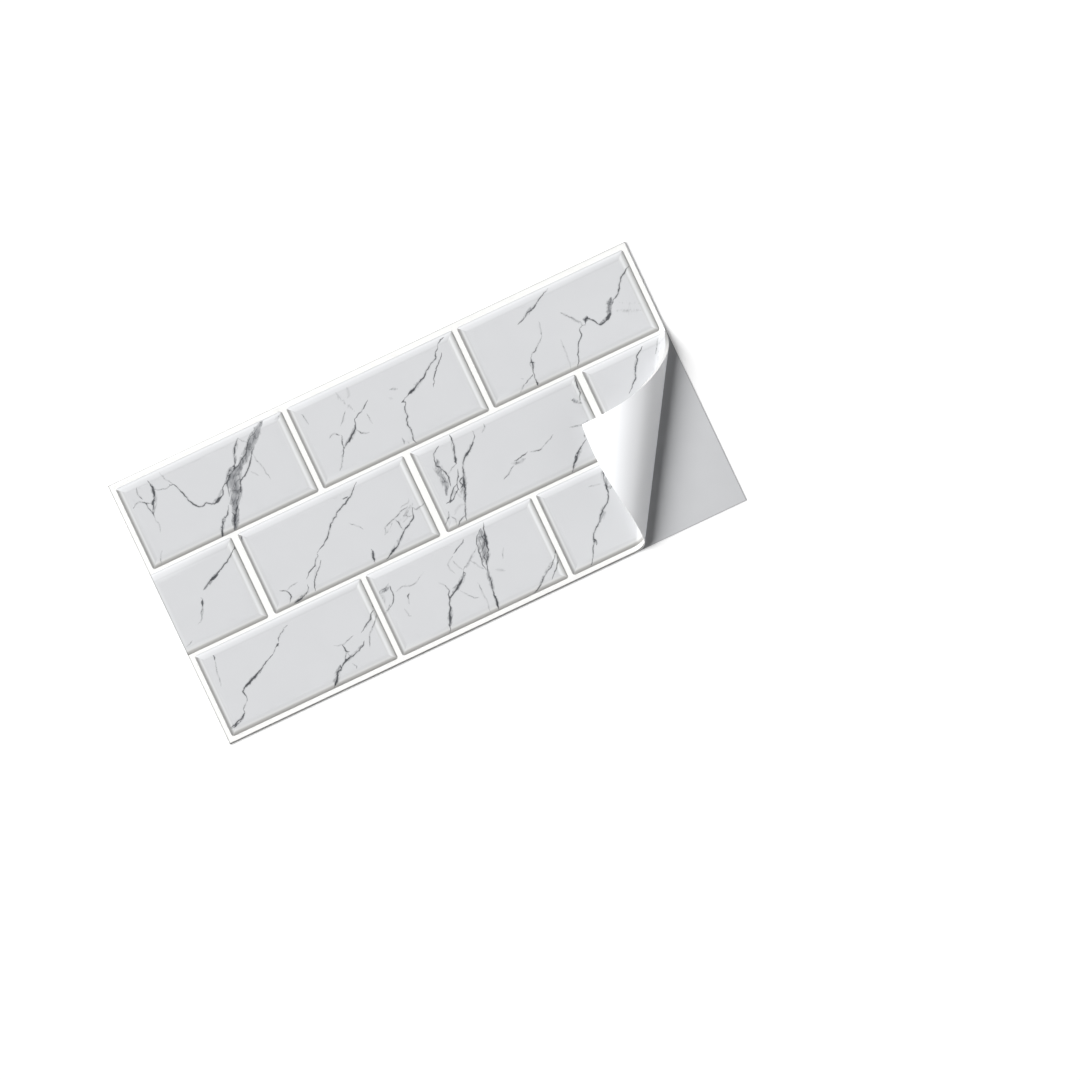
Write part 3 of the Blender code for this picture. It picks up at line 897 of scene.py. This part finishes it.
def rulings():
    """The straight lines of the roll, in mm, from the apex across the sheet."""
    turns = [0.0]
    for radius, angle in BENDS:
        steps = math.ceil(angle / RULING_ANGLE)
        spread = angle * radius / APEX_BEYOND_SIDE
        start = turns[-1]
        turns += [start + spread * (step + 1) / steps for step in range(steps)]
    apex = np.array(APEX.xy) / MM
    half = np.array((SHEET_LENGTH, SHEET_WIDTH)) / 2 / MM
    for turn in turns:
        if turn < CORNER_TURN:
            way = np.array((PEEL_LINE * math.cos(turn) + PEEL_ACROSS * math.sin(turn)).xy)
            ends = np.sort(np.stack(((-half - apex) / way, (half - apex) / way)), 0)
            yield apex + way * ends[0].max(), apex + way * ends[1].min()


def triangulated(points, edges, merge):
    """A flat triangle mesh of the points, cut to the sheet's outline, that has the edges."""
    found = geometry.delaunay_2d_cdt([Vector(point) for point in points], edges, [], 0, merge, False)
    places = np.array([vert[:] for vert in found[0]])
    faces = np.array([face[:] for face in found[2]])
    half = np.array((SHEET_LENGTH, SHEET_WIDTH)) / 2 / MM
    inside = (np.abs(places[faces].mean(1)) < half).all(1)
    return places, faces[inside]


def outline(inset=0.0):
    """The sheet's closed outline, in mm, drawn in by an inset."""
    x, y = SHEET_LENGTH / 2 / MM - inset, SHEET_WIDTH / 2 / MM - inset
    return np.array(((-x, -y), (x, -y), (x, y), (-x, y), (-x, -y)))


def flat_slab():
    """The flat sheet as a closed slab, whose upper side is cut along tiles, rulings and veins."""
    veins, smoke = all_strands()
    lines = [outline(), outline(EDGE_RUN / MM / 2), outline(EDGE_RUN / MM)]
    for centre in tile_centres():
        for inset in CONTOURS:
            contour = tile_contour(centre, inset)
            lines.append(np.concatenate((contour, contour[:1])))
    lines.extend(rulings())
    for strand in veins + smoke:
        lines += [strand.line, strand.border()]
    x, y = SHEET_LENGTH / 2 / MM, SHEET_WIDTH / 2 / MM
    grid = np.meshgrid(np.arange(FILL_STEP - x, x, FILL_STEP), np.arange(FILL_STEP - y, y, FILL_STEP))
    points, edges = [], []
    for line in lines:
        edges.extend((len(points) + step, len(points) + step + 1) for step in range(len(line) - 1))
        points.extend(line)
    points.extend(np.stack(grid, 2).reshape(-1, 2))
    bm = bmesh.new()
    add_layer(bm, *triangulated(points, edges, MERGE), 1.0)
    rim_edges = [edge for edge in bm.edges if edge.is_boundary]
    rim = list({vert: None for edge in rim_edges for vert in edge.verts})
    number = {vert: place for place, vert in enumerate(rim)}
    tree = kdtree.KDTree(len(rim))
    for vert, place in number.items():
        tree.insert(vert.co, place)
    tree.balance()
    low_edges = [(number[edge.verts[0]], number[edge.verts[1]]) for edge in rim_edges]
    for ends in rulings():
        low_edges.append([tree.find((*(end * MM), MM))[1] for end in ends])
    low_points = [vert.co.xy / MM for vert in rim]
    low = add_layer(bm, *triangulated(low_points, low_edges, MERGE / 100), -1.0)
    under = {vert: low[number[vert]] for vert in rim}
    for edge in rim_edges:
        start, end = edge.verts
        bm.faces.new((start, end, under[end], under[start]))
    bmesh.ops.recalc_face_normals(bm, faces=bm.faces[:])
    mesh = bpy.data.meshes.new("tile_sheet_form")
    bm.to_mesh(mesh)
    bm.free()
    places = np.zeros(len(mesh.vertices) * 3, np.float32)
    mesh.vertices.foreach_get("co", places)
    plan = places.reshape(-1, 3)[:, :2].astype(float) / MM
    for name, strands in (("vein", veins), ("smoke", smoke)):
        values = np.zeros(len(plan))
        for strand in strands:
            strand.lay(plan, values)
        mesh.attributes.new(name, "FLOAT", "POINT").data.foreach_set("value", values.astype(np.float32))
    return mesh


def add_layer(bm, places, faces, level):
    """Adds a flat mesh to bm at a level in mm, and returns its vertices in the order of their places."""
    verts = {}
    for number in np.unique(faces):
        x, y = places[number] * MM
        verts[number] = bm.verts.new((x, y, level * MM))
    for face in faces:
        bm.faces.new([verts[number] for number in face])
    return list(verts.values())


def linear(colour):
    """A display colour, 0 to 255, as the scene-linear colour that a shader takes."""
    levels = []
    for share in [level / 255 for level in colour]:
        levels.append(share / 12.92 if share <= 0.04045 else ((share + 0.055) / 1.055) ** 2.4)
    return (*levels, 1.0)


def new_material(name):
    """A new material, its tree and its Principled shader."""
    material = bpy.data.materials.new(name)
    material.use_nodes = True
    return material, material.node_tree, material.node_tree.nodes["Principled BSDF"]


def noise_term(tree, where, scale, detail, roughness=0.5, distortion=0.0):
    node = tree.nodes.new("ShaderNodeTexNoise")
    for name, value in (("Vector", where), ("Scale", scale), ("Detail", detail), ("Roughness", roughness),
                        ("Distortion", distortion)):
        feed(tree, node.inputs[name], value)
    return Term(tree, node.outputs[0])


def crackle(tree, where, scale):
    """How far a place lies from the nearest crack of a bent network of cracks, in cells."""
    bend = tree.nodes.new("ShaderNodeTexNoise")
    feed(tree, bend.inputs["Vector"], where)
    bend.inputs["Scale"].default_value = scale
    node = tree.nodes.new("ShaderNodeTexVoronoi")
    node.feature = "DISTANCE_TO_EDGE"
    feed(tree, node.inputs["Vector"], where + Arrow(tree, bend.outputs["Color"]) * (WEB_BEND / scale))
    node.inputs["Scale"].default_value = scale
    return Term(tree, node.outputs["Distance"])


def mixed(tree, share, first, second):
    node = tree.nodes.new("ShaderNodeMix")
    node.data_type = "RGBA"
    for socket, value in ((node.inputs["Factor"], share), (node.inputs[6], first), (node.inputs[7], second)):
        feed(tree, socket, value)
    return Term(tree, node.outputs[2])


def attribute(tree, name, output, holder=Term):
    node = tree.nodes.new("ShaderNodeAttribute")
    node.attribute_name = name
    return holder(tree, node.outputs[output])


def object_place(tree):
    return Arrow(tree, tree.nodes.new("ShaderNodeTexCoord").outputs["Object"])


def new_group(name, inputs, outputs):
    tree = bpy.data.node_groups.new(name, "ShaderNodeTree")
    for output, kind in outputs:
        tree.interface.new_socket(name=output, in_out="OUTPUT", socket_type=kind)
    terms = add_inputs(tree, inputs)
    return tree, terms, tree.nodes.new("NodeGroupOutput")


def use_group(tree, group, **values):
    node = tree.nodes.new("ShaderNodeGroup")
    node.node_tree = group
    for name, value in values.items():
        feed(tree, node.inputs[name.replace("_", " ").title()], value)
    return node


def mottle_group():
    """Uneven ink and coating: a colour a little lighter and darker in patches, and a height of fine grain."""
    tree, given, output = new_group(
        "film_mottle",
        (
            ("Place", "NodeSocketVector", None),
            ("Colour", "NodeSocketColor", (0.8, 0.8, 0.8, 1.0)),
            ("Patch Scale", "NodeSocketFloat", 60.0),
            ("Patch Amount", "NodeSocketFloat", 0.03),
            ("Grain Scale", "NodeSocketFloat", 2500.0),
            ("Grain Amount", "NodeSocketFloat", 0.02),
        ),
        (("Colour", "NodeSocketColor"), ("Patches", "NodeSocketFloat"), ("Grain", "NodeSocketFloat")),
    )
    patches = noise_term(tree, given["Place"], given["Patch Scale"], 3.0, 0.55, 0.4)
    grain = noise_term(tree, given["Place"], given["Grain Scale"], 2.0, 0.6)
    level = (patches - 0.5) * given["Patch Amount"] * 2.0 + (grain - 0.5) * given["Grain Amount"] * 2.0 + 1.0
    shade = Arrow(tree, given["Colour"].socket) * level
    for name, value in (("Colour", shade), ("Patches", patches), ("Grain", grain)):
        feed(tree, output.inputs[name], value)
    return tree


def courses_group():
    """How far a place of the sheet lies inside each side of its tile, and inside the tile's outline."""
    names = ("Left", "Right", "Lower", "Upper", "Inset")
    tree, given, output = new_group(
        "tile_courses",
        (("Place", "NodeSocketVector", None), *TILE_SIZES),
        [(name, "NodeSocketFloat") for name in names],
    )
    sides = tile_sides(given["Place"], given)
    for name, value in zip(names, (*sides, tile_inset(sides, given["Corner Radius"]))):
        feed(tree, output.inputs[name], value)
    return tree


# Painted shade and highlight of one bevel, as a colour ramp over the distance in from that tile side
def bevel_shade_colour(tree, side, inset):
    node = tree.nodes.new("ShaderNodeValToRGB")
    feed(tree, node.inputs[0], inset / (BEVEL_SHADE_RUN * MM))
    ramp = node.color_ramp
    while len(ramp.elements) > 1:
        ramp.elements.remove(ramp.elements[0])
    stops = BEVEL_SHADE_BANDS[side]
    ramp.elements[0].position = stops[0][0] / BEVEL_SHADE_RUN
    ramp.elements[0].color = linear(stops[0][1])
    for distance, colour in stops[1:]:
        ramp.elements.new(distance / BEVEL_SHADE_RUN).color = linear(colour)
    return Term(tree, node.outputs[0])


def bump(tree, height, strength, distance):
    node = tree.nodes.new("ShaderNodeBump")
    feed(tree, node.inputs["Height"], height)
    node.inputs["Strength"].default_value = strength
    node.inputs["Distance"].default_value = distance
    return Term(tree, node.outputs[0])


def dress_surface(tree, shader, coat, colour, roughness, grain_strength, grain_height):
    """Feeds a shader its colour, a roughness that follows the coat's patches and a bump of its grain."""
    patches, grain = Term(tree, coat.outputs["Patches"]), Term(tree, coat.outputs["Grain"])
    feed(tree, shader.inputs["Base Color"], colour)
    feed(tree, shader.inputs["Roughness"], patches.ramp(0.3, 0.7, *roughness))
    feed(tree, shader.inputs["Normal"], bump(tree, grain, grain_strength, grain_height))


def face_material(mottle, courses):
    """The printed face: marble tiles with painted shade and highlight on their bevels, white joints and a
    painted edge shadow along the sheet's sides, under a satin coat.
    """
    material, tree, shader = new_material("marble_print_film")
    place = attribute(tree, "flat_place", "Vector", Arrow)
    tile = use_group(tree, courses, place=place)
    sides = {side: Term(tree, tile.outputs[side.title()]) for side in ("left", "right", "lower", "upper")}
    inset = Term(tree, tile.outputs["Inset"])
    nearest = sides["left"].least(sides["right"]).least(sides["lower"].least(sides["upper"]))
    # Painted bevel shade and highlight: each place takes the band of the tile side it lies nearest to
    colour = bevel_shade_colour(tree, "upper", sides["upper"])
    for side in ("left", "right", "lower"):
        chosen = sides[side].below(nearest + 0.01 * MM)
        colour = mixed(tree, chosen, colour, bevel_shade_colour(tree, side, sides[side]))
    coat = use_group(
        tree, mottle, place=place, colour=colour,
        patch_scale=55.0, patch_amount=0.012, grain_scale=1400.0, grain_amount=0.008,
    )
    colour = Term(tree, coat.outputs["Colour"])

    along, across = place.dot(STREAK_WAY), place.dot(STREAK_WAY.cross(UP))
    streaked = arrow_of(tree, along * STREAK_STRETCH, across, 0.0)
    streaks = noise_term(tree, streaked, STREAK_SCALE, 4.0, 0.6, 0.4)
    flecks = noise_term(tree, place, FLECK_SCALE, 3.0, 0.6)
    pinches = noise_term(tree, place, PINCH_SCALE, 2.0, 0.5)
    smoke = attribute(tree, "smoke", "Fac")
    level = smoke * 0.8 + (streaks - 0.5) * 0.9
    near = smoke.ramp(0.02, 0.1)
    grey = level.ramp(0.14, 0.46) * near * smoke.ramp(0.0, 1.0, 0.16, 0.84, "LINEAR")
    colour = mixed(tree, grey * streaks.ramp(0.3, 0.7, 0.7, 1.15), colour, linear(VEIN_GREY))
    web = crackle(tree, streaked, WEB_SCALE).ramp(0.0, 0.14, 1.0, 0.0)
    threads = web * smoke.ramp(0.14, 0.42) * flecks.ramp(0.3, 0.5) * pinches.ramp(0.34, 0.52)
    crust = abs(level - 0.36).ramp(0.0, 0.05, 1.0, 0.0) * near * flecks.ramp(0.35, 0.65)
    colour = mixed(tree, (threads * 0.6).most(crust * 0.4), colour, linear(VEIN_DARK))
    vein = attribute(tree, "vein", "Fac")
    vein = vein * flecks.ramp(0.3, 0.7, 0.88, 1.07) * pinches.ramp(0.3, 0.7, 0.8, 1.1)
    dark = vein.ramp(0.05, 0.65, 0.0, 0.15) + vein.ramp(0.58, 0.86, 0.0, 0.75)
    colour = mixed(tree, dark, colour, linear(VEIN_DARK))
    colour = mixed(tree, inset.ramp(-0.08 * MM, 0.14 * MM), linear(JOINT_COLOUR), colour)
    x, y, z = place.parts()
    inwards = {
        "left": x + SHEET_LENGTH / 2,
        "right": SHEET_LENGTH / 2 - x,
        "lower": y + SHEET_WIDTH / 2,
        "upper": SHEET_WIDTH / 2 - y,
    }
    # Painted edge shadow: a dark line just inside each of the sheet's four sides
    for side, (solid, faded, share) in EDGE_SHADOW_LINES.items():
        line = inwards[side].ramp(solid * MM, faded * MM, share, 0.0)
        colour = mixed(tree, line, colour, linear(EDGE_SHADOW_COLOUR))
    shader.inputs["Specular IOR Level"].default_value = 0.2
    dress_surface(tree, shader, coat, colour, (0.42, 0.52), 0.12, 0.02 * MM)
    return material


def back_material(mottle):
    """The peeled back: white gloss adhesive with a faint coating grain."""
    material, tree, shader = new_material("white_adhesive_back")
    place = attribute(tree, "flat_place", "Vector", Arrow)
    coat = use_group(
        tree, mottle, place=place, colour=linear(ADHESIVE_COLOUR),
        patch_scale=45.0, patch_amount=0.012, grain_scale=900.0, grain_amount=0.006,
    )
    dress_surface(tree, shader, coat, Term(tree, coat.outputs["Colour"]), (0.28, 0.36), 0.1, 0.02 * MM)
    return material


def edge_material(mottle):
    """The cut edge of the white film."""
    material, tree, shader = new_material("cut_film_edge")
    cut = use_group(
        tree, mottle, place=object_place(tree), colour=linear(CUT_FILM_COLOUR),
        patch_scale=300.0, patch_amount=0.05, grain_scale=4000.0, grain_amount=0.04,
    )
    feed(tree, shader.inputs["Base Color"], Term(tree, cut.outputs["Colour"]))
    shader.inputs["Roughness"].default_value = 0.55
    feed(tree, shader.inputs["Normal"], bump(tree, Term(tree, cut.outputs["Grain"]), 0.25, 0.02 * MM))
    return material


def liner_material(mottle):
    """Coated grey release paper: fine fibres, a soft sheen and painted shade that darkens it towards and on
    its edges.
    """
    material, tree, shader = new_material("grey_release_paper")
    place = object_place(tree)
    paper = use_group(
        tree, mottle, place=place, colour=linear(LINER_COLOUR),
        patch_scale=70.0, patch_amount=0.014, grain_scale=2600.0, grain_amount=0.014,
    )
    x, y, z = place.parts()
    # Painted shade: the paper darkens within half a millimetre of its edges
    to_edge = (SHEET_LENGTH / 2 - abs(x)).least(SHEET_WIDTH / 2 - abs(y))
    shade = to_edge.ramp(0.0, 0.5 * MM, 0.55, 0.0)
    colour = mixed(tree, shade, Term(tree, paper.outputs["Colour"]), linear(LINER_EDGE_SHADE))
    dress_surface(tree, shader, paper, colour, (0.42, 0.52), 0.2, 0.015 * MM)
    return material


def make_sheet(materials):
    """The embossed and rolled sheet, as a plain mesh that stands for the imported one."""
    mesh = flat_slab()
    item = bpy.data.objects.new("tile_sheet_form", mesh)
    bpy.context.scene.collection.objects.link(item)
    modifier = item.modifiers.new("embossed_rolled_sheet", "NODES")
    modifier.node_group = sheet_tree(materials)
    bpy.context.view_layer.update()
    graph = bpy.context.evaluated_depsgraph_get()
    made = bpy.data.meshes.new_from_object(item.evaluated_get(graph))
    item.modifiers.clear()
    item.data = made
    bpy.data.meshes.remove(mesh)
    item.name = "embossed_tile_sheet"
    made.name = item.name
    made.shade_smooth()
    made.set_sharp_from_angle(angle=SHARP)
    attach(item, "root")
    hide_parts("tile_sheet")


def dress_liner(material):
    """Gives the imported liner, which keeps its shape, its paper finish."""
    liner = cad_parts["release_liner"]
    liner.data.materials.clear()
    liner.data.materials.append(material)


def make_floor():
    """A pale floor that looks white to the camera and keeps the sheet's shadow."""
    bpy.ops.mesh.primitive_grid_add(
        x_subdivisions=4, y_subdivisions=4, size=FLOOR_SIZE, location=(0.0, 0.0, -FLOOR_DROP)
    )
    floor = bpy.context.object
    floor.name = "studio_floor"
    material, tree, shader = new_material("white_studio_floor")
    rays = tree.nodes.new("ShaderNodeLightPath")
    seen = Term(tree, rays.outputs["Is Camera Ray"]).most(Term(tree, rays.outputs["Is Glossy Ray"]))
    shader.inputs["Base Color"].default_value = linear(FLOOR_COLOUR)
    shader.inputs["Roughness"].default_value = 0.9
    shader.inputs["Specular IOR Level"].default_value = 0.0
    shader.inputs["Emission Color"].default_value = (1.0, 1.0, 1.0, 1.0)
    feed(tree, shader.inputs["Emission Strength"], seen * FLOOR_GLOW)
    floor.data.materials.append(material)


def make_lights():
    """A soft key from beyond the sheet's upper left, a weak low fill opposite it and a dim surround."""
    world = bpy.data.worlds.new("studio")
    world.use_nodes = True
    background = world.node_tree.nodes["Background"]
    background.inputs["Color"].default_value = (1.0, 1.0, 1.0, 1.0)
    background.inputs["Strength"].default_value = SURROUND
    bpy.context.scene.world = world
    for name, (energy, angle, elevation, side) in LAMPS.items():
        lamp = bpy.data.lights.new(name, "SUN")
        lamp.energy = energy
        lamp.angle = angle
        holder = bpy.data.objects.new(name, lamp)
        way = PEEL_ACROSS * side * math.cos(elevation) + UP * math.sin(elevation)
        holder.rotation_euler = way.to_track_quat("Z", "Y").to_euler()
        bpy.context.scene.collection.objects.link(holder)


def make_camera():
    """The photograph's view, straight down on the sheet."""
    data = bpy.data.cameras.new("photo_camera")
    data.sensor_width = 36.0
    data.lens = data.sensor_width * CAMERA_HEIGHT / VIEW_WIDTH
    data.clip_end = 20.0
    camera = bpy.data.objects.new("photo_camera", data)
    camera.location = (*VIEW_CENTRE, CAMERA_HEIGHT)
    camera.rotation_euler = (0.0, 0.0, VIEW_TURN)
    bpy.context.scene.collection.objects.link(camera)
    bpy.context.scene.camera = camera


def main():
    bpy.context.scene.view_settings.view_transform = "Standard"
    make_camera()
    mottle = mottle_group()
    materials = {
        "face": face_material(mottle, courses_group()),
        "back": back_material(mottle),
        "edge": edge_material(mottle),
    }
    make_sheet(materials)
    dress_liner(liner_material(mottle))
    make_floor()
    make_lights()


main()
